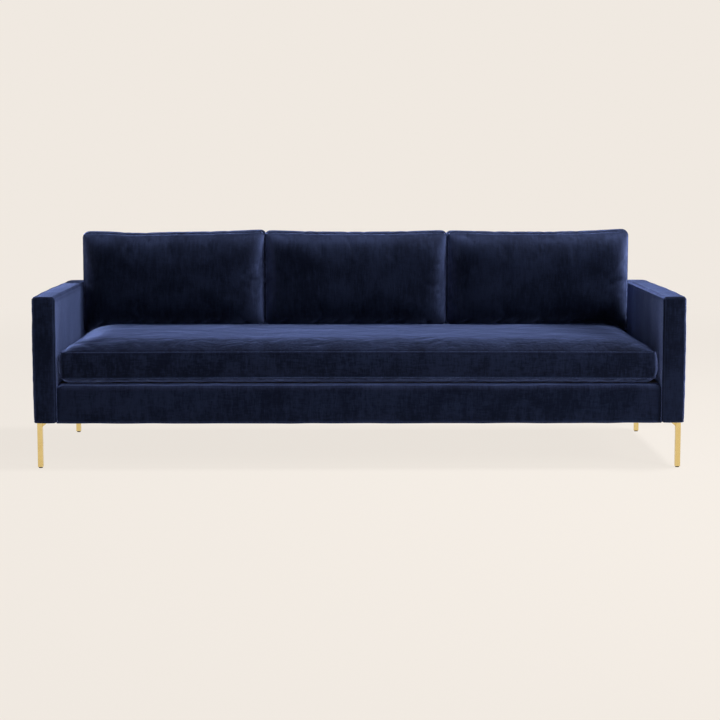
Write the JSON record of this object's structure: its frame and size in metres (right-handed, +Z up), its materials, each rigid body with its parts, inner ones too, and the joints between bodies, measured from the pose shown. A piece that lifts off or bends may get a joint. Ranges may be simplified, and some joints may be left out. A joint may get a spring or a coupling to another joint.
{
  "type": "tuxedo sofa",
  "caption": "Velvet sofa with arms and back of one height, a bench seat cushion, loose back cushions and slim square brass legs.",
  "frame": {"origin": "on the floor, at the middle of the width and of the depth", "axes": "+X the viewer's right, -Y the front, +Z up"},
  "size_m": [2.286, 0.915, 0.8101],
  "materials": {
    "velvet": "navy cotton velvet, short pile",
    "deck_cloth": "plain dark woven cloth",
    "dust_cloth": "thin black spun cloth",
    "frame_timber": "planed, kiln-dried hardwood",
    "dowel_wood": "fluted beech",
    "fibreboard": "thin hard fibreboard",
    "webbing": "woven elastic webbing",
    "felt": "needled felt",
    "foam": "cut polyurethane foam",
    "fibre_fill": "polyester fibre",
    "leg_brass": "brushed brass plate, satin",
    "screw_steel": "zinc plated",
    "glide_nylon": "dark moulded nylon",
    "zip_tape": "woven tape with nylon coil",
    "zip_metal": "cast slider"
  },
  "bodies": {
    "root": {"front_rail": "frame_timber", "back_rail": "frame_timber", "left_side_rail": "frame_timber", "right_side_rail": "frame_timber", "seat_stretchers": "frame_timber", "left_front_post": "frame_timber", "right_front_post": "frame_timber", "left_back_post": "frame_timber", "right_back_post": "frame_timber", "left_arm_rail": "frame_timber", "right_arm_rail": "frame_timber", "back_top_rail": "frame_timber", "back_tack_rail": "frame_timber", "back_uprights": "frame_timber", "corner_blocks": "frame_timber", "frame_dowels": "dowel_wood", "left_arm_panels": "fibreboard", "right_arm_panels": "fibreboard", "back_panel": "fibreboard", "seat_webbing": "webbing", "seat_cross_webbing": "webbing", "back_webbing": "webbing", "back_cross_webbing": "webbing", "deck_pad": "felt", "deck_cover": "deck_cloth", "front_rail_padding": "foam", "front_rail_cover": "velvet", "left_arm_padding": "foam", "right_arm_padding": "foam", "left_arm_cover": "velvet", "right_arm_cover": "velvet", "back_padding": "foam", "back_cover": "velvet", "outside_back_cover": "velvet", "dust_cover": "dust_cloth", "front_left_leg": "leg_brass", "front_right_leg": "leg_brass", "rear_left_leg": "leg_brass", "rear_right_leg": "leg_brass", "leg_screws": "screw_steel", "leg_glides": "glide_nylon"},
    "seat_cushion": {"seat_cushion_cover": "velvet", "seat_cushion_wrap": "fibre_fill", "seat_cushion_foam": "foam", "seat_zip": "zip_tape"},
    "seat_zip_pull": {"seat_zip_slider": "zip_metal"},
    "left_back_cushion": {"left_cushion_cover": "velvet", "left_cushion_fill": "fibre_fill", "left_zip": "zip_tape"},
    "left_zip_pull": {"left_zip_slider": "zip_metal"},
    "centre_back_cushion": {"centre_cushion_cover": "velvet", "centre_cushion_fill": "fibre_fill", "centre_zip": "zip_tape"},
    "centre_zip_pull": {"centre_zip_slider": "zip_metal"},
    "right_back_cushion": {"right_cushion_cover": "velvet", "right_cushion_fill": "fibre_fill", "right_zip": "zip_tape"},
    "right_zip_pull": {"right_zip_slider": "zip_metal"}
  },
  "joints": [
    {"name": "seat_cushion_lift", "type": "slide", "parent": "root", "child": "seat_cushion", "axis": [0, 0, 1], "range_m": [0, 0.35]},
    {"name": "seat_zip_slide", "type": "slide", "parent": "seat_cushion", "child": "seat_zip_pull", "axis": [1, 0, 0], "range_m": [0, 1.944]},
    {"name": "left_cushion_lift", "type": "slide", "parent": "seat_cushion", "child": "left_back_cushion", "axis": [0, 0, 1], "range_m": [0, 0.25]},
    {"name": "left_zip_slide", "type": "slide", "parent": "left_back_cushion", "child": "left_zip_pull", "axis": [1, 0, 0], "range_m": [0, 0.531]},
    {"name": "centre_cushion_lift", "type": "slide", "parent": "seat_cushion", "child": "centre_back_cushion", "axis": [0, 0, 1], "range_m": [0, 0.25]},
    {"name": "centre_zip_slide", "type": "slide", "parent": "centre_back_cushion", "child": "centre_zip_pull", "axis": [1, 0, 0], "range_m": [0, 0.531]},
    {"name": "right_cushion_lift", "type": "slide", "parent": "seat_cushion", "child": "right_back_cushion", "axis": [0, 0, 1], "range_m": [0, 0.25]},
    {"name": "right_zip_slide", "type": "slide", "parent": "right_back_cushion", "child": "right_zip_pull", "axis": [1, 0, 0], "range_m": [0, 0.531]}
  ]
}
